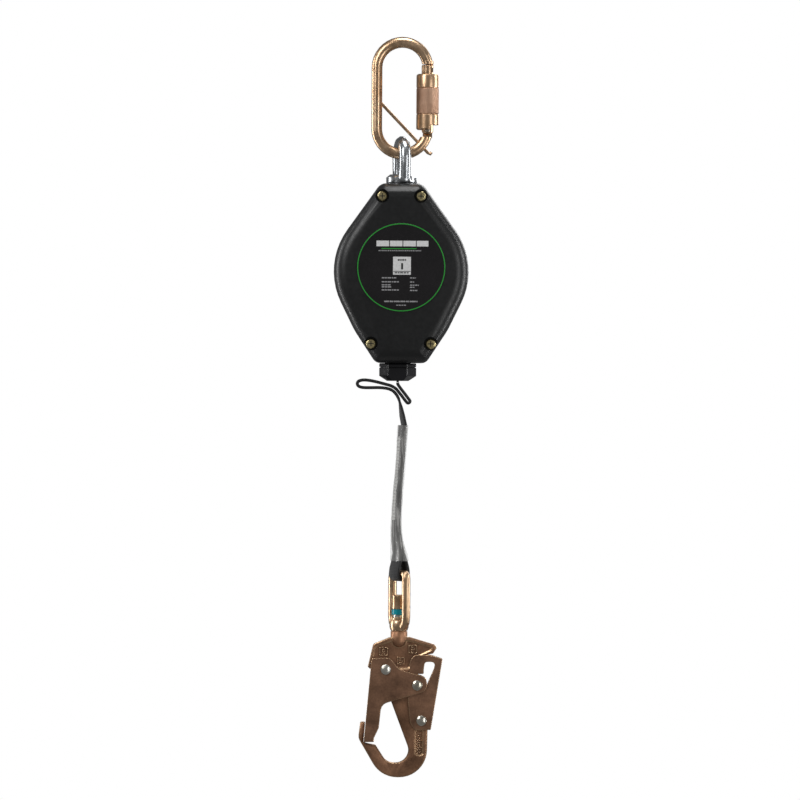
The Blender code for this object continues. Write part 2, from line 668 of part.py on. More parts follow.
# z, x and turn of the doubled web, with the half width and half thickness of the clear sleeve round it
BUNDLE = [(-350.8, 2.3, 12, 10.9, 4.1), (-374.0, 1.2, 10, 10.9, 4.1), (-392.5, 0.0, 9, 10.9, 4.1),
          (-415.0, -1.9, 10, 10.9, 4.1), (-439.0, -3.2, 12, 10.9, 4.1), (-457.6, -2.6, 19, 10.9, 4.3),
          (-470.0, -0.6, 26, 11.2, 5.4)]


def beside(z, x, turn, offset):
    """A point beside the doubled web's centre, through its thickness."""
    angle = math.radians(turn)
    return (x + offset * math.cos(angle), offset * math.sin(angle), z, turn)


def web_loop():
    """Round the bail's bar, from the leading leg to the sewn one."""
    reach = BAIL_BAR_R + GAP + WEB_T / 2
    turn = 90 - BAIL_TURN
    low = arc((0, BAIL_Z), reach + 0.1, 0, -180, 8)
    return ([beside(BAIL_Z + 11.5, 0, turn, 3.2), beside(BAIL_Z + 5.5, 0, turn, 4.9)]
            + [beside(z, 0, turn, offset) for offset, z in low]
            + [beside(BAIL_Z + 5.5, 0, turn, -4.9), beside(BAIL_Z + 11.5, 0, turn, -3.2)])


def build_web():
    spacing = WEB_T / 2 + 0.12
    leading = [beside(z, x, turn, spacing) for z, x, turn, _, _ in smooth(BUNDLE, 2)]
    sewn = [beside(z, x, turn, -spacing) for z, x, turn, _, _ in reversed(smooth(BUNDLE, 2))]
    route = smooth(stopper_route(), 2) + leading + web_loop() + sewn
    strip("lifeline_web", route)


def sleeve_ring(z, x, turn, half_w, half_t):
    """Flat oval section of the clear sleeve."""
    angle = math.radians(turn)
    wide = Vector((math.sin(angle), -math.cos(angle), 0))
    thick = Vector((math.cos(angle), math.sin(angle), 0))
    points = []
    for k in range(12):
        c, s = math.cos(math.tau * k / 12), math.sin(math.tau * k / 12)
        a = math.copysign(abs(c) ** 0.7, c) * half_w
        b = math.copysign(abs(s) ** 0.5, s) * half_t
        points.append(Vector((x, 0, z)) + wide * a + thick * b)
    return points


def build_clear_sleeve():
    film = 0.5
    stations = smooth(BUNDLE, 2) + [(-477.0, 0.0, 28, 11.6, 6.6)]
    outer = [sleeve_ring(*station) for station in stations]
    inner = [sleeve_ring(z, x, turn, w - film, t - film) for z, x, turn, w, t in reversed(stations)]
    loft("clear_sleeve", outer + inner, "clear_vinyl", closed=True)
    tag = [beside(z, x, turn, -2.92) for z, x, turn, _, _ in smooth(BUNDLE, 2)[1:-4]]
    strip("printed_tag", tag, "tag_card", width=14.0, thick=0.25)


# ---- bail and swivel

def build_bail():
    side = Matrix.Rotation(math.radians(-BAIL_TURN), 3, "Z")
    corner = 4.3
    half = (arc((BAIL_HALF - corner, BAIL_Z - corner), corner, 90, 0, 4)
            + [(BAIL_HALF, -528.0), (BAIL_HALF - 1.1, -534.0), (BAIL_HALF - 5.5, -537.8)])
    route = [(-x, 0, z) for x, z in reversed(half)] + [(x, 0, z) for x, z in half]
    bail = tube("swivel_bail", [side @ Vector(point) for point in route], BAIL_BAR_R, "gold_zinc",
                resolution=3)
    bridge = turned("add_bridge", [(0, -532.4), (8.2, -532.4), (8.9, -533.4), (8.9, -538.5), (7.8, -541.7),
                                   (0, -541.7)], "gold_zinc", steps=20)
    join(bail, bridge)
    cut(bail, rod("cut_bridge", (0, 0, -525), (0, 0, -545), STEM_R + GAP, sides=20))


def build_swivel():
    turned("swivel_stem", [(0, -508.5), (6.2, -508.5), (7.0, -509.3), (7.0, -521.7), (STEM_R, -521.7),
                           (STEM_R, -552.0), (0, -552.0)], "gold_zinc", steps=20)
    bore = STEM_R + GAP
    turned("load_indicator", ring_profile(bore, 7.0, -522.0, -527.0), "teal_band", steps=20, ring=True)
    turned("swivel_washer_upper", ring_profile(bore, 5.8, -527.3, -529.6), "bright_zinc", steps=16,
           ring=True)
    turned("swivel_washer_lower", ring_profile(bore, 7.0, -529.9, -532.1), "gold_zinc", steps=16, ring=True)


# ---- snap hook

def shoulder_arc(radius, x):
    """Height on an arc about the keeper's pivot, where the keeper's foot swings past the hook's nose."""
    return KEEPER_PIVOT[1] - math.sqrt(radius ** 2 - (x - KEEPER_PIVOT[0]) ** 2)


def build_hook_body():
    foot = 71.0
    outline = rounded([
        (-9.0, -548.2, 0), (-24.0, -554.4, 4), (-28.9, -575.5, 1.2), (-27.0, -577.2, 0.6),
        (-20.5, -577.6, 1),
        (-20.5, -590.0, 5), (-7.0, -607.5, 3), (14.5, -664.6, 12), (-10.8, -664.6, 12),
        (-21.3, shoulder_arc(foot, -21.3), 1), (-27.5, shoulder_arc(foot, -27.5), 0),
        (-32.5, shoulder_arc(foot, -32.5), 0.6), (-31.0, -626.8, 1.2), (-35.6, -626.8, 1.5),
        (-37.4, -641.6, 8), (-16.1, -678.0, 26), (26.3, -678.0, 26), (27.5, -612.0, 5), (19.0, -605.5, 2),
        (12.5, -599.0, 3), (12.5, -589.5, 3), (17.6, -581.9, 1.5), (23.2, -581.9, 1), (23.2, -564.5, 1),
        (31.8, -562.8, 1), (35.2, -557.6, 1.5),
        (33.0, -554.6, 1.5), (10.0, -547.8, 0)], step=20)
    pivots = [circle(KEEPER_PIVOT, 3.0 + GAP, 12), circle(LEVER_PIVOT, 3.0 + GAP, 12)]
    body = plate("hook_body", outline, -BODY_HALF, BODY_HALF, "brown_zinc", holes=pivots, bevel=1.2)
    neck = turned("add_hook_neck", [(0, -542.0), (7.2, -542.0), (7.8, -542.7), (7.8, -551.5), (7.0, -554.8),
                                    (4.4, -557.2), (0, -558.2)], "brown_zinc", steps=20)
    panel = rounded([(-5.0, -550.8, 1), (-22.0, -557.0, 2), (-25.8, -573.5, 1), (-19.0, -577.0, 2),
                     (10.0, -577.0, 3), (17.5, -565.5, 2), (29.5, -560.0, 1), (31.0, -557.0, 1),
                     (6.0, -550.5, 1)], 45)
    channel = rounded([(15.9, -634.0, 1), (22.5, -634.0, 1), (22.6, -657.5, 2), (16.2, -657.5, 2)], 45)
    for side, name in ((-1, "front"), (1, "rear")):
        low, high = sorted((side * (BODY_HALF - 1.2), side * (BODY_HALF + 2)))
        cut(body, plate("cut_panel_" + name, panel, low, high, "steel"),
            plate("cut_channel_" + name, channel, low, high, "steel"))
    join(body, neck)
    cut(body, rod("cut_stem_hole", (0, 0, -540), (0, 0, -552.4), STEM_R + GAP, sides=20))
    rivet("keeper_rivet", KEEPER_PIVOT, 3.0, KEEPER_HALF)
    rivet("lever_rivet", LEVER_PIVOT, 3.0, LEVER_HALF)
    helix("lever_spring", (20.6, 0, -602.5), "X", 2.6, 0.5, 8.6, 3.5)


def build_keeper():
    sheet = 1.5
    outline = rounded([
        (-25.3, -567.3, 1.5), (-8.2, -566.8, 6), (0.5, -578.0, 12), (26.0, -584.8, 7), (26.4, -597.5, 6.5),
        (-16.0, -610.2, 8), (-18.2, -632.0, 4), (-22.8, -641.8, 2), (-22.8, -645.2, 0.5),
        (-32.3, -645.4, 0.5)], 24)
    keeper = plate("keeper", outline, -KEEPER_HALF, KEEPER_HALF, "brown_zinc")
    inside = rounded([(-24.9, -578.2, 0), (-31.0, -650.0, 0), (45.0, -650.0, 0), (45.0, -560.0, 0),
                      (-45.0, -560.0, 0), (-45.0, -578.2, 0)])
    cut(keeper, plate("cut_keeper_inside", inside, -KEEPER_HALF + sheet, KEEPER_HALF - sheet, "steel"),
        across("cut_keeper_rivet", KEEPER_PIVOT, 3.0 + GAP, 20),
        across("cut_lock_pin", LOCK_PIN, 2.0 + GAP, 20))
    rivet("lock_pin", LOCK_PIN, 2.0, KEEPER_HALF)
    x, z = KEEPER_PIVOT
    legs = [(x - 8.6, -6.0, z - 22.0)] + [(a, -6.0, b) for a, b in arc(KEEPER_PIVOT, 4.2, 200, -20, 8)]
    tube("keeper_spring", legs + [(x + 6.0, -6.0, z - 20.0)], 0.5, "steel", resolution=1)


def build_lever():
    sheet = 1.3
    outline = rounded([(10.2, -570.0, 5), (14.5, -564.2, 4), (29.5, -564.2, 8), (40.6, -567.8, 0.8),
                       (30.0, -633.8, 0.8), (15.5, -634.0, 4), (10.8, -627.5, 5), (8.6, -606.0, 20)], 30)
    lever = plate("lock_lever", outline, -LEVER_HALF, LEVER_HALF, "brown_zinc")
    inside = rounded([(38.9, -560.0, 0), (39.4, -566.7, 0), (28.5, -636.0, 0), (0.0, -640.0, 0),
                      (0.0, -560.0, 0)])
    window = rounded([(24.2, -570.6, 2.5), (33.9, -570.6, 3), (32.8, -577.0, 8), (27.5, -589.0, 4),
                      (24.0, -597.5, 4), (13.2, -597.5, 3), (13.2, -589.5, 3), (18.0, -581.8, 1.5),
                      (22.6, -581.8, 1)], 30)
    cut(lever, plate("cut_lever_inside", inside, -LEVER_HALF + sheet, LEVER_HALF - sheet, "steel"),
        plate("cut_lever_window", window, -20, 20, "steel"),
        across("cut_lever_rivet", LEVER_PIVOT, 3.0 + GAP, 20))


# ---- joints: an empty on each axis, with its pieces under it

def pivot(name, place, parent, pieces):
    """An empty on a joint's axis that carries the named pieces."""
    empty = bpy.data.objects.new(name, None)
    empty.empty_display_size = 0.01
    parts.objects.link(empty)
    empty.location = Vector(place) * MM
    children = [bpy.data.objects[piece] for piece in pieces]
    here = Matrix.Translation(empty.location)
    if parent:
        empty.parent = parent
        empty.matrix_parent_inverse = Matrix.Translation(Vector(parent["place"])).inverted()
    empty["place"] = empty.location[:]
    for child in children:
        child.parent = empty
        child.matrix_parent_inverse = here.inverted()
    return empty


def add_pivots():
    anchor = pivot("pivot_anchor", (0, 0, 0), None, ["carabiner_frame", "carabiner_gate_rivet",
                                                     "carabiner_latch_pin", "captive_pin"])
    gate = pivot("pivot_gate", (GATE_X, 0, GATE_PIN_Z), anchor,
                 ["carabiner_gate", "gate_plunger", "gate_spring"])
    pivot("pivot_sleeve", (GATE_X, 0, GATE_PIN_Z), gate, ["carabiner_sleeve"])
    eye = pivot("pivot_eye", (0, 0, LOAD_BAR_Z), anchor, ["swivel_eye", "eye_nut", "eye_washer"])
    case = pivot("pivot_case", (0, 0, CASE_TOP_Z), eye, [
        "front_cover", "rear_cover", "cover_screw_1", "cover_screw_2", "cover_screw_3", "cover_screw_4",
        "label_plate", "anchor_block", "frame_plate_front", "frame_plate_rear", "main_shaft",
        "shaft_ring_front",
        "shaft_ring_rear", "lock_ring", "spring_cup", "spring_cover", "power_spring", "web_nozzle",
        "web_guide_pin_left", "web_guide_pin_right", "web_inner_run", "web_payout_span"])
    drum = pivot("pivot_drum", (0, 0, DRUM_Z), case, [
        "drum_hub", "drum_flange_front", "drum_flange_rear", "drum_bush_front", "drum_bush_rear", "web_coil",
        "pawl_pin_a", "pawl_pin_b"])
    pivot("pivot_pawl_a", (0, 0, DRUM_Z + PAWL_R), drum, ["pawl_a"])
    pivot("pivot_pawl_b", (0, 0, DRUM_Z - PAWL_R), drum, ["pawl_b"])
    line = pivot("pivot_lifeline", (NOZZLE_X, 0, SPAN_BOTTOM_Z), case,
                 ["lifeline_web", "clear_sleeve", "printed_tag"])
    bail = pivot("pivot_bail", (0, 0, BAIL_Z), line, ["swivel_bail"])
    hook = pivot("pivot_hook", (0, 0, -541.7), bail, [
        "swivel_stem", "load_indicator", "swivel_washer_upper", "swivel_washer_lower", "hook_body",
        "keeper_rivet",
        "lever_rivet", "lever_spring"])
    pivot("pivot_keeper", (KEEPER_PIVOT[0], 0, KEEPER_PIVOT[1]), hook,
          ["keeper", "lock_pin", "keeper_spring"])
    pivot("pivot_lever", (LEVER_PIVOT[0], 0, LEVER_PIVOT[1]), hook, ["lock_lever"])


clear_scene()
parts = collection("self_retracting_lifeline")
cutters = collection("cutters")
build_carabiner()
build_gate()
build_sleeve()
build_eye()
build_case()
build_nozzle()
build_inner_web()
build_drum()
build_frame()
build_lock()
build_retraction()
build_web()
build_clear_sleeve()
build_bail()
build_swivel()
build_hook_body()
build_keeper()
build_lever()
add_pivots()
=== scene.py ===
"""Looks of a self retracting lifeline: skins, web, sleeve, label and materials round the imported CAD."""
import json
import math

import bmesh
import bpy
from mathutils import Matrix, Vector

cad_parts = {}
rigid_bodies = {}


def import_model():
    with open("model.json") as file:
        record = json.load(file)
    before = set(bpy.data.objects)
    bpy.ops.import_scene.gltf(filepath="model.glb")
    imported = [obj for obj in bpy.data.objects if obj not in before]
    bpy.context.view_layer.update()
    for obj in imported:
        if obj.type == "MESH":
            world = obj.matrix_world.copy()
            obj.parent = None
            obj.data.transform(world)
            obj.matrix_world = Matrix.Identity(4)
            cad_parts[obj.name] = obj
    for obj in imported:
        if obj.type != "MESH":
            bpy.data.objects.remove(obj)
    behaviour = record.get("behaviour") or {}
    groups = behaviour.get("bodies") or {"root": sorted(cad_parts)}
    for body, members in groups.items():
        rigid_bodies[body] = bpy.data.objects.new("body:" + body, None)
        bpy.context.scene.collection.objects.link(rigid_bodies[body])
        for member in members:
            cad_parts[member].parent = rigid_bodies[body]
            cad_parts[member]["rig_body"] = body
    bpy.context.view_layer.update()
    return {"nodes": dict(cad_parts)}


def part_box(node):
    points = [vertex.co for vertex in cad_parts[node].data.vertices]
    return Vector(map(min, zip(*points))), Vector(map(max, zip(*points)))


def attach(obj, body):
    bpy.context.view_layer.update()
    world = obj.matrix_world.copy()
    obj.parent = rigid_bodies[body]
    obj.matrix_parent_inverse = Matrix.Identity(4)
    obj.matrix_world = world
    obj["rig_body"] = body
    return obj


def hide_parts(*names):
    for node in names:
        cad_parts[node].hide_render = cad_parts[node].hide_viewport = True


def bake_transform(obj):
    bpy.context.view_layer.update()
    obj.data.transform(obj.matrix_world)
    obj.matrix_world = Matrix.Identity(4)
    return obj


MM = 0.001

# the camera looks along +Y; these are metres, and the roll is in degrees
VIEW_DISTANCE = 6.0
VIEW_HEIGHT = 0.744
VIEW_CENTRE = (-0.4 * MM, -327.4 * MM)
VIEW_ROLL = -0.35

# the floor lies below the hook at full payout
FLOOR_RADIUS, FLOOR_Z = 1.4, -4.15
WORLD_LIGHT = 0.16

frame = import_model()
nodes = frame["nodes"]
slots = {node: cad.data.materials[0].name for node, cad in nodes.items()}


# ---- node helpers

def add(tree, kind, inputs=None, **settings):
    """A shader node; an input given as a socket is linked, and any other value is set."""
    node = tree.nodes.new(kind)
    for name, value in settings.items():
        setattr(node, name, value)
    for name, value in (inputs or {}).items():
        if isinstance(value, bpy.types.NodeSocket):
            tree.links.new(value, node.inputs[name])
        else:
            node.inputs[name].default_value = value
    return node


def math_node(tree, operation, first, second=0.0):
    return add(tree, "ShaderNodeMath", {0: first, 1: second}, operation=operation).outputs[0]


def noise(tree, where, scale, detail=4.0, roughness=0.55):
    values = {"Vector": where, "Scale": scale, "Detail": detail, "Roughness": roughness}
    return add(tree, "ShaderNodeTexNoise", values).outputs["Fac"]


def ramp(tree, value, *stops):
    """A colour ramp through (position, colour) stops."""
    node = add(tree, "ShaderNodeValToRGB", {"Fac": value})
    line = node.color_ramp.elements
    while len(line) < len(stops):
        line.new(0.5)
    for element, (position, colour) in zip(line, stops):
        element.position = position
        element.color = (*colour, 1.0)
    return node.outputs["Color"]


def grey(value):
    return (value, value, value)


def blended(tree, factor, first, second):
    node = add(tree, "ShaderNodeMix", {"Factor": factor}, data_type="RGBA")
    for socket, colour in ((6, first), (7, second)):
        if isinstance(colour, bpy.types.NodeSocket):
            tree.links.new(colour, node.inputs[socket])
        else:
            node.inputs[socket].default_value = (*colour, 1.0)
    return node.outputs[2]


def surface(name, **fixed):
    """A new material, its tree, its shader and its object coordinates."""
    material = bpy.data.materials.new(name)
    material.use_nodes = True
    tree = material.node_tree
    shader = tree.nodes["Principled BSDF"]
    for socket, value in fixed.items():
        shader.inputs[socket.replace("_", " ")].default_value = value
    where = add(tree, "ShaderNodeTexCoord").outputs["Object"]
    return material, tree, shader, where


def feed(tree, shader, colour=None, roughness=None, height=None, strength=0.2, depth=0.1):
    """Links a colour, a roughness and a bump height, of a depth in mm, to a shader."""
    if colour is not None:
        tree.links.new(colour, shader.inputs["Base Color"])
    if roughness is not None:
        tree.links.new(roughness, shader.inputs["Roughness"])
    if height is not None:
        values = {"Height": height, "Strength": strength, "Distance": depth * MM}
        tree.links.new(add(tree, "ShaderNodeBump", values).outputs["Normal"], shader.inputs["Normal"])


# ---- materials

def plated(name, light, dark, rough=(0.2, 0.42), grain=0.12):
    """Zinc plated steel: cloudy colour, worn streaks and a fine forged grain."""
    material, tree, shader, where = surface(name, Metallic=1.0)
    clouds = noise(tree, where, 55.0, 6.0, 0.6)
    fine = noise(tree, where, 700.0, 5.0, 0.6)
    colour = ramp(tree, clouds, (0.32, dark), (0.62, light))
    speck = ramp(tree, fine, (0.36, grey(0.86)), (0.6, grey(1.0)))
    tinted = add(tree, "ShaderNodeMix", {"Factor": 0.8, 6: colour, 7: speck}, data_type="RGBA",
                 blend_type="MULTIPLY")
    gloss = ramp(tree, noise(tree, where, 160.0, 5.0), (0.3, grey(rough[0])), (0.7, grey(rough[1])))
    feed(tree, shader, tinted.outputs[2], gloss, fine, grain, 0.12)
    return material


def painted_edge_highlights(name, face, edge, width):
    """Plated plate or forging: dull cloudy flats, and a painted highlight of a width in mm along its edges
    and inside corners.
    """
    material, tree, shader, where = surface(name, Metallic=0.85)
    flat = add(tree, "ShaderNodeNewGeometry").outputs["Normal"]
    bevel_normal_and_knurl_tone = add(tree, "ShaderNodeBevel", {"Radius": width * MM}, samples=8).outputs["Normal"]
    straight = add(tree, "ShaderNodeVectorMath", {0: flat, 1: bevel_normal_and_knurl_tone},
                   operation="DOT_PRODUCT").outputs["Value"]
    clouds = noise(tree, where, 45.0, 6.0, 0.62)
    fine = noise(tree, where, 620.0, 5.0, 0.65)
    # the mask marks edges and inside corners, where the rounded normal turns away from the flat one; the
    # bright edge colour laid under it is a painted highlight, broken up by fine noise
    ragged = math_node(tree, "ADD", straight,
                       math_node(tree, "MULTIPLY", math_node(tree, "SUBTRACT", fine, 0.5), 0.1))
    painted_highlight_mask = ramp(tree, ragged, (0.86, grey(1.0)), (0.975, grey(0.0)))
    flats = ramp(tree, clouds, (0.3, tuple(c * 0.5 for c in face)), (0.5, face),
                 (0.72, tuple(c * 1.5 for c in face)))
    edges = ramp(tree, clouds, (0.3, tuple(c * 0.8 for c in edge)), (0.6, edge))
    speck = ramp(tree, fine, (0.35, grey(0.75)), (0.62, grey(1.0)))
    colour = blended(tree, painted_highlight_mask, flats, edges)
    tinted = add(tree, "ShaderNodeMix", {"Factor": 0.85, 6: colour, 7: speck}, data_type="RGBA",
                 blend_type="MULTIPLY")
    bump = {"Height": fine, "Strength": 0.15, "Distance": 0.12 * MM, "Normal": bevel_normal_and_knurl_tone}
    tree.links.new(add(tree, "ShaderNodeBump", bump).outputs["Normal"], shader.inputs["Normal"])
    feed(tree, shader, tinted.outputs[2], blended(tree, painted_highlight_mask, grey(0.48), grey(0.24)))
    return material


def knurled(name, light, dark, centre, band):
    """The twist sleeve: plated metal whose middle band has a fine diamond knurl."""
    material, tree, shader, where = surface(name, Metallic=1.0)
    at = add(tree, "ShaderNodeSeparateXYZ", {0: where})
    x = math_node(tree, "SUBTRACT", at.outputs["X"], centre)
    angle = math_node(tree, "ARCTAN2", at.outputs["Y"], x)
    turns = math_node(tree, "MULTIPLY", angle, 44.0)
    rise = math_node(tree, "MULTIPLY", at.outputs["Z"], math.tau / (1.5 * MM))
    one = math_node(tree, "SINE", math_node(tree, "ADD", turns, rise))
    other = math_node(tree, "SINE", math_node(tree, "SUBTRACT", turns, rise))
    diamonds = math_node(tree, "MULTIPLY", math_node(tree, "MINIMUM", one, other), 0.5)
    above = math_node(tree, "GREATER_THAN", at.outputs["Z"], band[0])
    below = math_node(tree, "LESS_THAN", at.outputs["Z"], band[1])
    inside = math_node(tree, "MULTIPLY", above, below)
    fine = noise(tree, where, 800.0, 5.0)
    height = math_node(tree, "ADD", math_node(tree, "MULTIPLY", diamonds, inside),
                       math_node(tree, "MULTIPLY", fine, 0.3))
    clouds = noise(tree, where, 90.0, 5.0)
    plain = ramp(tree, clouds, (0.3, dark), (0.65, light))
    # the knurled band is coloured darker than the plain plating
    bevel_normal_and_knurl_tone = ramp(tree, clouds, (0.3, (0.40, 0.235, 0.155)), (0.65, (0.56, 0.36, 0.25)))
    rough = blended(tree, inside, grey(0.33), grey(0.5))
    feed(tree, shader, blended(tree, inside, plain, bevel_normal_and_knurl_tone), rough, height, 0.55, 0.25)
    return material


def moulded(name, colour, rough, grain, scale=900.0, corner=0.0):
    """Moulded plastic with a fine grain, faint scuffs and corners shaded as if rounded to a radius in mm."""
    material, tree, shader, where = surface(name, Metallic=0.0)
    cells = add(tree, "ShaderNodeTexVoronoi", {"Vector": where, "Scale": scale}).outputs["Distance"]
    soft = noise(tree, where, 40.0, 6.0, 0.6)
    scuffs = noise(tree, where, 350.0, 6.0, 0.7)
    shade = ramp(tree, soft, (0.3, tuple(c * 0.75 for c in colour)), (0.7, tuple(c * 1.3 for c in colour)))
    gloss = ramp(tree, scuffs, (0.3, grey(rough - 0.06)), (0.72, grey(rough + 0.1)))
    feed(tree, shader, shade, gloss, cells, grain, 0.12)
    if corner:
        rounded = add(tree, "ShaderNodeBevel", {"Radius": corner * MM}, samples=8).outputs["Normal"]
        bump = next(node for node in tree.nodes if node.type == "BUMP")
        tree.links.new(rounded, bump.inputs["Normal"])
    return material


def woven(name):
    """Black polyester web: ribs of warp crossed by picks, read from the web's lengthwise map."""
    material, tree, shader, where = surface(name, Roughness=0.75, Sheen_Weight=0.2, Sheen_Roughness=0.4)
    flat = add(tree, "ShaderNodeSeparateXYZ", {0: add(tree, "ShaderNodeUVMap", uv_map="web").outputs["UV"]})
    warp = math_node(tree, "SINE", math_node(tree, "MULTIPLY", flat.outputs["X"], math.tau * 9))
    pick = math_node(tree, "SINE", math_node(tree, "MULTIPLY", flat.outputs["Y"], math.tau / (1.3 * MM)))
    weave = math_node(tree, "ADD", math_node(tree, "MULTIPLY", warp, 0.6),
                      math_node(tree, "MULTIPLY", pick, warp))
    fibre = noise(tree, where, 2500.0, 3.0)
    height = math_node(tree, "ADD", weave, fibre)
    # the colour follows the weave's height, lighter on top of the ribs and darker between them: painted
    # sheen and shade
    shade = ramp(tree, math_node(tree, "MULTIPLY", height, 0.5), (0.1, grey(0.006)),
                 (0.8, (0.045, 0.045, 0.05)))
    feed(tree, shader, shade, None, height, 0.5, 0.2)
    return material


def clear_film(name):
    """Milky clear vinyl with creases that catch the light."""
    material, tree, shader, where = surface(name, Base_Color=(0.66, 0.65, 0.63, 1.0))
    stretch = add(tree, "ShaderNodeMapping", {"Vector": where, "Scale": (1.0, 1.0, 0.16)}).outputs[0]
    folds = noise(tree, stretch, 260.0, 4.0, 0.5)
    alpha = ramp(tree, folds, (0.35, grey(0.14)), (0.56, grey(0.28)), (0.68, grey(0.7)))
    tree.links.new(alpha, shader.inputs["Alpha"])
    gloss = ramp(tree, noise(tree, where, 300.0), (0.3, grey(0.1)), (0.7, grey(0.26)))
    feed(tree, shader, None, gloss, folds, 0.5, 0.8)
    return material


def card(name, colour, lines):
    """A printed tag: card with rows of generic marks that say nothing."""
    material, tree, shader, where = surface(name)
    at = add(tree, "ShaderNodeSeparateXYZ", {0: where})
    rows = math_node(tree, "SINE", math_node(tree, "MULTIPLY", at.outputs["Z"], math.tau / (3.1 * MM)))
    broken = noise(tree, where, 420.0, 2.0)
    marks = math_node(tree, "MULTIPLY", math_node(tree, "GREATER_THAN", rows, 0.45),
                      math_node(tree, "GREATER_THAN", broken, 0.5))
    gloss = ramp(tree, noise(tree, where, 500.0), (0.3, grey(0.4)), (0.7, grey(0.6)))
    feed(tree, shader, blended(tree, marks, colour, lines), gloss, noise(tree, where, 900.0), 0.15, 0.1)
    return material


def ink(name, colour):
    """Screen-printed ink with slightly uneven cover."""
    material, tree, shader, where = surface(name)
    cover = noise(tree, where, 900.0, 4.0)
    shade = ramp(tree, cover, (0.3, tuple(c * 0.82 for c in colour)), (0.6, colour))
    feed(tree, shader, shade, ramp(tree, cover, (0.3, grey(0.3)), (0.7, grey(0.45))), cover, 0.1, 0.03)
    return material


SLEEVE_X = sum(corner.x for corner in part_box("carabiner_sleeve")) / 2
KNURL = (-61.4 * MM, -37.2 * MM)
GOLD = ((0.80, 0.56, 0.36), (0.56, 0.35, 0.20))

looks = {
    "gold_zinc": plated("gold_zinc_worn", *GOLD),
    "sleeve_zinc": knurled("sleeve_zinc_knurled", (0.72, 0.49, 0.31), (0.52, 0.33, 0.19), SLEEVE_X, KNURL),
    # brown zinc plates: painted highlights along their edges, 1.5 mm wide
    "brown_zinc": painted_edge_highlights("brown_zinc_edge_highlight", (0.33, 0.18, 0.11), (1.0, 0.69, 0.42), 1.5),
    "bright_zinc": plated("bright_zinc_dull", (0.86, 0.84, 0.76), (0.62, 0.58, 0.48), (0.16, 0.34), 0.3),
    "steel": plated("steel_grey", (0.62, 0.63, 0.65), (0.42, 0.43, 0.45), (0.25, 0.45)),
    "brass": plated("brass_screw", (0.86, 0.74, 0.40), (0.55, 0.44, 0.2), (0.2, 0.35)),
    "case_plastic": moulded("case_plastic_grained", (0.0065, 0.0068, 0.0072), 0.36, 0.02),
    "nozzle_plastic": moulded("nozzle_plastic_gloss", (0.010, 0.010, 0.012), 0.2, 0.03, corner=2.0),
    "label_film": moulded("label_film_satin", (0.009, 0.008, 0.009), 0.24, 0.01, 2600.0),
    "web_fabric": woven("web_fabric_woven"),
    "clear_vinyl": clear_film("clear_vinyl_creased"),
    "tag_card": card("tag_card_printed", (0.60, 0.60, 0.58), (0.25, 0.25, 0.25)),
    "teal_band": moulded("teal_band_gloss", (0.0, 0.26, 0.33), 0.25, 0.05),
}
# the forged hook body: painted highlights along its edges, 2.8 mm wide
FORGED = painted_edge_highlights("forged_zinc_edge_highlight", (0.36, 0.19, 0.11), (1.0, 0.68, 0.40), 2.8)
EYE_ZINC = plated("eye_zinc_bright", (0.60, 0.62, 0.64), (0.36, 0.38, 0.40), (0.18, 0.34), 0.15)


# ---- pieces made from meshes

def piece(name, points, faces, finish, body):
    """A mesh object of these points and faces in one finish, riding on a body."""
    mesh = bpy.data.meshes.new(name)
    mesh.from_pydata([tuple(point) for point in points], [], faces)
    mesh.materials.append(finish)
    made = bpy.data.objects.new(name, mesh)
    bpy.context.scene.collection.objects.link(made)
    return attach(made, body) if body else made


def shade(made, angle):
    """Smooth shading, with edges sharper than this angle in degrees kept crisp."""
    work = bmesh.new()
    work.from_mesh(made.data)
    for face in work.faces:
        face.smooth = True
    for edge in work.edges:
        edge.smooth = len(edge.link_faces) == 2 and edge.calc_face_angle() < math.radians(angle)
    work.to_mesh(made.data)
    work.free()


def soften(made, width, segments=2):
    """Rounds the piece's sharp edges by a width in mm, so that they catch the light."""
    bevel = made.modifiers.new("soft_edges", "BEVEL")
    bevel.width = width * MM
    bevel.segments = segments
    bevel.limit_method = "ANGLE"
    bevel.angle_limit = math.radians(35)
    bevel.harden_normals = True


def skin(node, finish=None, angle=38, edge=0.0):
    """A welded, smooth copy of a CAD node with softened edges, which stands for it on the same body."""
    cad = nodes[node]
    work = bmesh.new()
    work.from_mesh(cad.data)
    bmesh.ops.remove_doubles(work, verts=work.verts, dist=1e-6)
    bmesh.ops.dissolve_limit(work, angle_limit=math.radians(0.5), verts=work.verts, edges=work.edges)
    points = [vertex.co.copy() for vertex in work.verts]
    faces = [[vertex.index for vertex in face.verts] for face in work.faces]
    work.free()
    made = piece(node + "_skin", points, faces, finish or looks[slots[node]], cad["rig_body"])
    shade(made, angle)
    if edge:
        soften(made, edge)
    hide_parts(node)
    return made


for node, cad in nodes.items():
    cad.data.materials[0] = looks[slots[node]]

skin("carabiner_frame", angle=50)
skin("carabiner_gate", edge=0.25)
skin("carabiner_sleeve", edge=0.3)
skin("captive_pin", angle=50)
skin("carabiner_gate_rivet", edge=0.4)
skin("carabiner_latch_pin", edge=0.3)
skin("swivel_eye", EYE_ZINC, angle=50)
for cover in ("front_cover", "rear_cover"):
    skin(cover, angle=33, edge=0.5)
skin("web_nozzle", edge=1.0)
skin("label_plate", edge=0.15)
skin("swivel_bail", angle=50)
for node in ("swivel_stem", "load_indicator", "swivel_washer_upper", "swivel_washer_lower"):
    skin(node, edge=0.3)
skin("hook_body", FORGED, angle=45)
skin("keeper", edge=0.25)
skin("lock_lever", edge=0.25)
for node in ("keeper_rivet", "lock_pin", "lever_rivet"):
    skin(node, angle=40, edge=0.3)


# ---- web

WEB_W, WEB_T, STOPPER_T = 18.0, 2.3, 2.9
CURVE_STEPS = 5
THICKEN_STEP = 0.12
NOZZLE_X, NOZZLE_BOTTOM_Z = -2.7, -309.7
BAIL_Z, BAIL_TURN, BAIL_BAR_R = -489.2, 62.0, 4.0

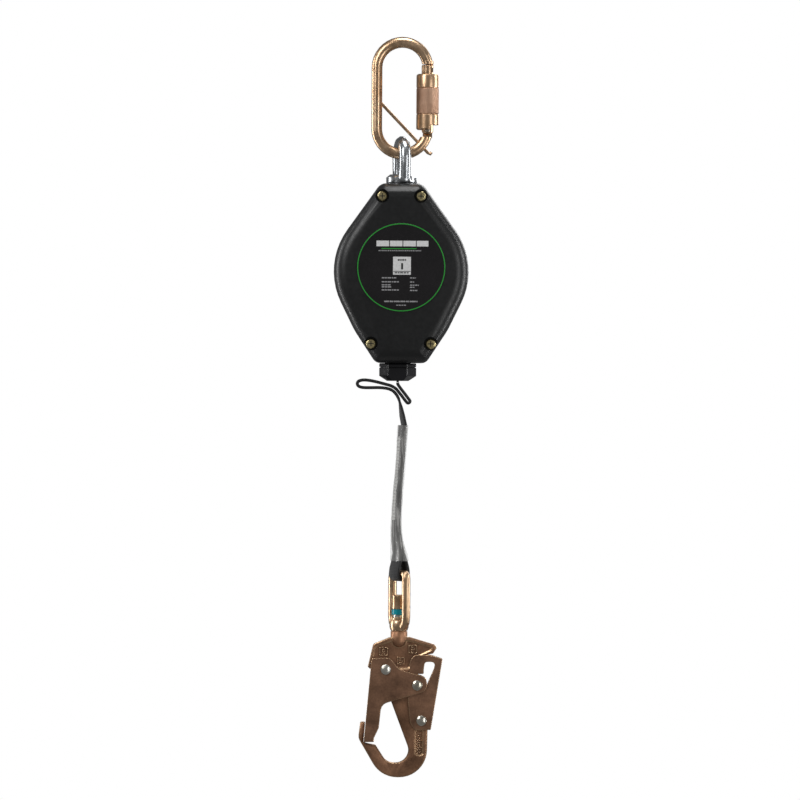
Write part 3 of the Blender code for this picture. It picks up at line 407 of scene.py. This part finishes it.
# the folded stopper, below the middle of the nozzle, on the CAD web's route; drawn STOPPER_T thick above its
# foot and tapering to WEB_T there, by THICKEN_STEP for each sample of the curve
FOLDS = [(0.0, -1.6), (0.4, -3.4), (2.6, -6.6), (5.7, -10.6), (8.7, -14.5), (11.1, -17.7), (11.6, -18.9),
         (10.9, -20.2), (9.6, -20.5), (8.4, -19.7), (6.0, -16.6), (3.0, -12.7), (0.6, -9.7), (-1.9, -7.0),
         (-6.0, -4.6), (-12.0, -2.9), (-19.0, -1.1), (-26.0, 0.3), (-32.0, 0.7), (-36.2, -0.4),
         (-37.5, -2.8), (-36.0, -5.2), (-32.0, -6.3), (-25.0, -6.4), (-17.0, -6.3), (-10.0, -7.0),
         (-5.4, -8.6), (-2.3, -11.2), (0.2, -14.8), (1.9, -19.2)]
TURNING = [(0.6, 0, -335.3, 6), (1.9, 0, -342.7, 11)]

# z, x and turn of the doubled web, with the half width and half thickness of the clear sleeve round it
BUNDLE = [(-350.8, 2.3, 12, 10.9, 4.1), (-374.0, 1.2, 10, 10.9, 4.1), (-392.5, 0.0, 9, 10.9, 4.1),
          (-415.0, -1.9, 10, 10.9, 4.1), (-439.0, -3.2, 12, 10.9, 4.1), (-457.6, -2.6, 19, 10.9, 4.3),
          (-470.0, -0.6, 26, 11.2, 5.4)]


def smooth(points, samples):
    """A Catmull-Rom curve through tuples of numbers, with this many samples to a span."""
    route = []
    for index in range(len(points) - 1):
        p0, p1 = points[max(index - 1, 0)], points[index]
        p2, p3 = points[index + 1], points[min(index + 2, len(points) - 1)]
        for step in range(samples):
            t = step / samples
            route.append(tuple(0.5 * (2 * b + (c - a) * t + (2 * a - 5 * b + 4 * c - d) * t * t
                                      + (3 * b - a - 3 * c + d) * t ** 3)
                               for a, b, c, d in zip(p0, p1, p2, p3)))
    return route + [points[-1]]


def beside(z, x, turn, offset):
    angle = math.radians(turn)
    return (x + offset * math.cos(angle), offset * math.sin(angle), z, turn)


def web_route():
    """Nozzle, stopper, leading leg, round the bail's bar and back up the sewn leg, as (x, y, z, turn)."""
    stopper = smooth([(NOZZLE_X + x, 0, NOZZLE_BOTTOM_Z + z, 0) for x, z in FOLDS] + TURNING,
                     CURVE_STEPS)
    spacing = WEB_T / 2 + 0.12
    legs = smooth(BUNDLE, CURVE_STEPS)
    turn, reach = 90 - BAIL_TURN, BAIL_BAR_R + 0.4 + WEB_T / 2
    low = [(reach * math.cos(a), BAIL_Z + reach * math.sin(a))
           for a in (-math.pi * k / 16 for k in range(17))]
    loop = ([beside(BAIL_Z + 11.5, 0, turn, 3.2), beside(BAIL_Z + 5.5, 0, turn, 4.9)]
            + [beside(z, 0, turn, offset) for offset, z in low]
            + [beside(BAIL_Z + 5.5, 0, turn, -4.9), beside(BAIL_Z + 11.5, 0, turn, -3.2)])
    return (stopper + [beside(z, x, turn, spacing) for z, x, turn, _, _ in legs] + loop
            + [beside(z, x, turn, -spacing) for z, x, turn, _, _ in reversed(legs)])


def ribbon(name, route, width, thick, finish, body):
    """A flat band along a route in mm, with a lengthwise map; thick is one number or a list by point."""
    section = [(0.5, 0.28), (0.47, 0.5), (-0.47, 0.5), (-0.5, 0.28), (-0.5, -0.28), (-0.47, -0.5),
               (0.47, -0.5), (0.5, -0.28)]
    count, points, faces, along = len(section), [], [], [0.0]
    for index, (x, y, z, turn) in enumerate(route):
        here = Vector((x, y, z))
        ahead = Vector(route[min(index + 1, len(route) - 1)][:3]) - Vector(route[max(index - 1, 0)][:3])
        angle = math.radians(turn)
        wide = Vector((math.sin(angle), -math.cos(angle), 0)) * width
        through = ahead.cross(wide).normalized() * (thick[index] if isinstance(thick, list) else thick)
        points += [(here + wide * a + through * b) * MM for a, b in section]
        if index:
            along.append(along[-1] + (here - Vector(route[index - 1][:3])).length * MM)
            first, last = count * (index - 1), count * index
            faces += [[first + k, first + (k + 1) % count, last + (k + 1) % count, last + k]
                      for k in range(count)]
    faces += [list(range(count))[::-1], [len(points) - count + k for k in range(count)]]
    made = piece(name, points, faces, finish, None)
    lengthwise = made.data.uv_layers.new(name="web")
    for loop in made.data.loops:
        row, column = divmod(loop.vertex_index, count)
        lengthwise.data[loop.index].uv = (section[column][0] + 0.5, along[row])
    shade(made, 55)
    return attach(made, body) if body else made


def dress_web():
    route = web_route()
    folded = CURVE_STEPS * (len(FOLDS) + len(TURNING) - 3)
    thick = [min(STOPPER_T, WEB_T + THICKEN_STEP * max(0, folded - k)) for k in range(len(route))]
    web = ribbon("web_outer", route, WEB_W, thick, looks["web_fabric"], "lifeline")
    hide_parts("lifeline_web")
    low, high = (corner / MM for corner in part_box("web_payout_span"))
    middle = (low.x + high.x) / 2
    span = ribbon("web_span", [(middle, 0, high.z + (low.z - high.z) * k / 6, 0) for k in range(7)],
                  WEB_W, WEB_T, looks["web_fabric"], None)
    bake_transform(span)
    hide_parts("web_payout_span")


def sleeve_ring(z, x, turn, half_w, half_t, steps=28):
    angle = math.radians(turn)
    wide = Vector((math.sin(angle), -math.cos(angle), 0))
    thick = Vector((math.cos(angle), math.sin(angle), 0))
    points = []
    for k in range(steps):
        c, s = math.cos(math.tau * k / steps), math.sin(math.tau * k / steps)
        crease = 1 + 0.03 * math.sin(z * 0.21 + 5 * k) * math.sin(z * 0.083)
        a = math.copysign(abs(c) ** 0.75, c) * half_w
        b = math.copysign(abs(s) ** 0.6, s) * half_t * crease
        points.append((Vector((x, 0, z)) + wide * a + thick * b) * MM)
    return points


def dress_sleeve():
    """The clear sleeve as one thin creased film, open at both ends, and the tag inside it."""
    stations = smooth(BUNDLE + [(-477.0, 0.0, 28, 11.4, 6.4)], 6)
    rings = [sleeve_ring(*station) for station in stations]
    count, points, faces = len(rings[0]), [p for ring in rings for p in ring], []
    for row in range(len(rings) - 1):
        a, b = row * count, (row + 1) * count
        faces += [[a + k, a + (k + 1) % count, b + (k + 1) % count, b + k] for k in range(count)]
    film = piece("sleeve_film", points, faces, looks["clear_vinyl"], "lifeline")
    shade(film, 60)
    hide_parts("clear_sleeve")
    skin("printed_tag", angle=60)


# ---- printed label

def bar(points, faces, left, right, top, bottom, face_y, thick=0.05):
    """Adds a thin printed bar, given in mm, to points and faces."""
    base = len(points)
    for y in (face_y, face_y - thick):
        points += [Vector(p) * MM
                   for p in ((left, y, bottom), (right, y, bottom), (right, y, top), (left, y, top))]
    faces += [[base + 4, base + 5, base + 6, base + 7], [base + 3, base + 2, base + 1, base]]
    faces += [[base + k, base + (k + 1) % 4, base + 4 + (k + 1) % 4, base + 4 + k] for k in range(4)]


def words(points, faces, left, right, top, height, face_y, lengths):
    """A line of dashes that stands for small print: nothing in it can be read."""
    x, turn = left, 0
    while x < right - 0.5:
        end = min(x + lengths[turn % len(lengths)], right)
        bar(points, faces, x, end, top, top - height, face_y)
        x, turn = end + 0.55, turn + 1


def print_label():
    low, high = (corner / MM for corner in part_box("label_plate"))
    face, centre, radius = low.y - 0.02, (low.z + high.z) / 2, (high.x - low.x) / 2
    green, white, small, dark = [], [], [], []
    green_faces, white_faces, small_faces, dark_faces = [], [], [], []
    sides = 96
    for k in range(sides):
        a = math.tau * k / sides
        for r, y in ((radius - 0.25, face), (radius - 0.25, face - 0.05), (radius - 1.2, face - 0.05),
                     (radius - 1.2, face)):
            green.append(Vector((r * math.cos(a), y, centre + r * math.sin(a))) * MM)
    for k in range(sides):
        a, b = 4 * k, 4 * ((k + 1) % sides)
        green_faces += [[a + j, a + (j + 1) % 4, b + (j + 1) % 4, b + j] for j in range(4)]
    bar(green, green_faces, -18.5, 14.0, centre + 17.7, centre + 16.9, face)
    for left, right in ((-23.0, -11.4), (-10.6, 1.0), (1.8, 13.4), (14.2, 25.0)):
        bar(white, white_faces, left, right, centre + 24.6, centre + 19.4, face)
    bar(white, white_faces, -7.6, 8.9, centre + 9.8, centre - 6.8, face)
    words(small, small_faces, -21.0, 18.5, centre + 15.9, 1.0, face, (1.2, 0.9, 1.5))
    lines = ((9.2, -4.5, 13.6), (12.9, -1.6, 12.0), (15.7, -9.8, 16.4), (17.6, -8.6, 12.2),
             (20.4, -1.2, 15.0))
    for row, (drop, left_end, right_end) in enumerate(lines):
        words(small, small_faces, -18.0, left_end, centre - drop, 1.1, face, (2.6, 1.7, 3.4, 1.1))
        words(small, small_faces, 8.2, right_end, centre - drop - 0.1 * row, 1.1, face, (2.2, 1.4))
    words(small, small_faces, -15.5, 15.2, centre - 30.9, 1.3, face, (4.4, 3.2, 5.6))
    words(small, small_faces, -4.4, 4.6, centre - 34.6, 0.9, face, (1.6, 2.2))
    square = face - 0.07
    words(dark, dark_faces, -3.2, 4.9, centre + 7.6, 1.5, square, (1.7, 1.3))
    bar(dark, dark_faces, -0.1, 1.7, centre + 3.9, centre - 1.9, square)
    bar(dark, dark_faces, -7.2, 8.5, centre - 3.4, centre - 4.0, square)
    words(dark, dark_faces, -6.0, 7.2, centre - 4.5, 1.1, square, (2.3, 1.6, 2.9))
    rows = (("label_ring", green, green_faces, ink("ink_green", (0.025, 0.34, 0.04))),
            ("label_white", white, white_faces, ink("ink_white", (0.80, 0.80, 0.80))),
            ("label_small", small, small_faces, ink("ink_grey", (0.36, 0.36, 0.37))),
            ("label_dark", dark, dark_faces, ink("ink_black", (0.015, 0.015, 0.015))))
    for name, points, faces, finish in rows:
        piece(name, points, faces, finish, "casing")


# ---- forged and pressed detail on the hook, the stem and the screws

BLOCK_FACES = ((0, 1, 3, 2), (4, 6, 7, 5), (0, 4, 5, 1), (2, 3, 7, 6), (0, 2, 6, 4), (1, 5, 7, 3))


def relief(name, blocks, finish, body, width=0.25):
    """Raised blocks (low corner, high corner) in mm, with softened edges, as one piece."""
    points, faces = [], []
    for low, high in blocks:
        base = len(points)
        points += [Vector((x, y, z)) * MM for x in (low[0], high[0]) for y in (low[1], high[1])
                   for z in (low[2], high[2])]
        faces += [[base + k for k in face] for face in BLOCK_FACES]
    made = piece(name, points, faces, finish, body)
    soften(made, width)
    return made


def forge_marks():
    """Raised frames with plain ribs inside them on the hook's face, and the ribs in its channel."""
    floor, proud = 3.7, 5.2
    frames = ((-14.2, -561.2, 8.0), (1.8, -569.8, 7.0), (12.9, -558.9, 8.2))
    for side, where in ((-1, "front"), (1, "rear")):
        near, far = sorted((side * floor, side * proud))
        blocks = []
        for x, z, size in frames:
            half, rim = size / 2, 0.9
            blocks += [((x - half, near, z + half - rim), (x + half, far, z + half)),
                       ((x - half, near, z - half), (x + half, far, z - half + rim)),
                       ((x - half, near, z - half + rim), (x - half + rim, far, z + half - rim)),
                       ((x + half - rim, near, z - half + rim), (x + half, far, z + half - rim))]
            blocks += [((x - 1.9, near, z + step - 0.4), (x + 1.9 - abs(step) * 0.4, far, z + step + 0.4))
                       for step in (-1.7, 0.0, 1.7)]
        for k in range(9):
            z = -637.0 - 2.2 * k
            blocks.append(((17.2, near, z - 0.5), (21.4 - 0.5 * (k % 3), far, z + 0.5)))
        marks = relief("forge_marks_" + where, blocks, looks["brown_zinc"], "hook")


def dimples():
    """The two small drilled marks on the stem's head, drawn as dark discs in its face: painted shade
    standing in for the holes.
    """
    dark = moulded("dimple_painted_shade", (0.05, 0.025, 0.02), 0.5, 0.1)
    points, faces = [], []
    angles = [math.tau * k / 12 for k in range(12)]
    for z in (-512.9, -517.4):
        base = len(points)
        points += [Vector((2.6 + 1.0 * math.cos(a), -6.62 + depth, z + 0.9 * math.sin(a))) * MM
                   for depth in (0.0, 0.5) for a in angles]
        faces += [[base + k for k in range(12)], [base + 23 - k for k in range(12)]]
        faces += [[base + (k + 1) % 12, base + k, base + 12 + k, base + 12 + (k + 1) % 12]
                  for k in range(12)]
    piece("stem_dimples", points, faces, dark, "hook")


def screw_heads():
    """Each cover screw as a domed head over its shank, with a dark cross laid on its face: painted shade
    that stands for the cross recess.
    """
    for number in range(1, 5):
        node = f"cover_screw_{number}"
        low, high = (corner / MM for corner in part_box(node))
        middle = (low + high) / 2
        made = skin(node, edge=0.5)
        slot_y = low.y - 0.03
        blocks = [((middle.x - 2.6, slot_y, middle.z - 0.5), (middle.x + 2.6, slot_y + 0.3, middle.z + 0.5)),
                  ((middle.x - 0.5, slot_y, middle.z - 2.6), (middle.x + 0.5, slot_y + 0.3, middle.z + 2.6))]
        recess = relief(f"screw_recess_shade_{number}", blocks, RECESS_SHADE, made["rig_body"], 0.1)


# the dark finish of the screws' crosses: painted shade of their recesses
RECESS_SHADE = moulded("recess_painted_shade", (0.02, 0.017, 0.01), 0.5, 0.1)
dress_web()
dress_sleeve()
print_label()
forge_marks()
dimples()
screw_heads()


# ---- stage, light and camera

def floor_disc(radius, height):
    angles = [math.tau * k / 64 for k in range(64)]
    points = [(radius * math.cos(a), radius * math.sin(a), height) for a in angles]
    material, tree, shader, where = surface("floor_paper", Roughness=0.9)
    feed(tree, shader, ramp(tree, noise(tree, where, 6.0), (0.3, grey(0.86)), (0.7, grey(0.9))))
    made = piece("floor", points, [list(range(64))], material, None)


def softbox(name, place, size, power, target=(0.0, 0.0, -0.33)):
    light = bpy.data.lights.new(name, "AREA")
    light.shape = "RECTANGLE"
    light.size, light.size_y = size
    light.energy = power
    lamp = bpy.data.objects.new(name, light)
    lamp.location = place
    lamp.rotation_euler = (Vector(target) - Vector(place)).to_track_quat("-Z", "Y").to_euler()
    bpy.context.scene.collection.objects.link(lamp)


def studio():
    """White room: the camera sees plain white, and the object is lit by a softer grey."""
    world = bpy.data.worlds.new("studio")
    bpy.context.scene.world = world
    world.use_nodes = True
    tree = world.node_tree
    white = (1.0, 1.0, 1.0, 1.0)
    seen = add(tree, "ShaderNodeBackground", {"Color": white, "Strength": 1.0}).outputs[0]
    lit = add(tree, "ShaderNodeBackground", {"Color": white, "Strength": WORLD_LIGHT}).outputs[0]
    camera_ray = add(tree, "ShaderNodeLightPath").outputs["Is Camera Ray"]
    mixed = add(tree, "ShaderNodeMixShader", {0: camera_ray, 1: lit, 2: seen}).outputs[0]
    tree.links.new(mixed, tree.nodes["World Output"].inputs["Surface"])
    softbox("key", (-1.1, -1.3, 0.75), (0.5, 1.2), 15.0)
    softbox("left_strip", (-1.4, 0.25, -0.25), (0.2, 1.7), 12.0)
    softbox("right_strip", (1.35, 0.1, -0.25), (0.22, 1.7), 12.0)
    softbox("front_fill", (1.2, -1.6, -0.35), (0.35, 1.6), 8.0)
    softbox("top", (0.1, -0.2, 1.1), (0.7, 0.7), 9.0, target=(0.0, 0.0, -0.1))
    softbox("rim", (0.5, 1.4, 0.3), (0.8, 1.2), 10.0)


def camera():
    """Square to the front with a slight roll, at the height of the middle of the hanging lifeline."""
    lens = bpy.data.cameras.new("camera")
    lens.sensor_width = 36.0
    lens.lens = 36.0 * VIEW_DISTANCE / VIEW_HEIGHT
    seen_from = bpy.data.objects.new("camera", lens)
    seen_from.location = (VIEW_CENTRE[0], -VIEW_DISTANCE, VIEW_CENTRE[1])
    seen_from.rotation_euler = (math.radians(90), math.radians(VIEW_ROLL), 0.0)
    bpy.context.scene.collection.objects.link(seen_from)
    bpy.context.scene.camera = seen_from


bpy.context.scene.view_settings.view_transform = "Standard"
floor_disc(FLOOR_RADIUS, FLOOR_Z)
studio()
camera()
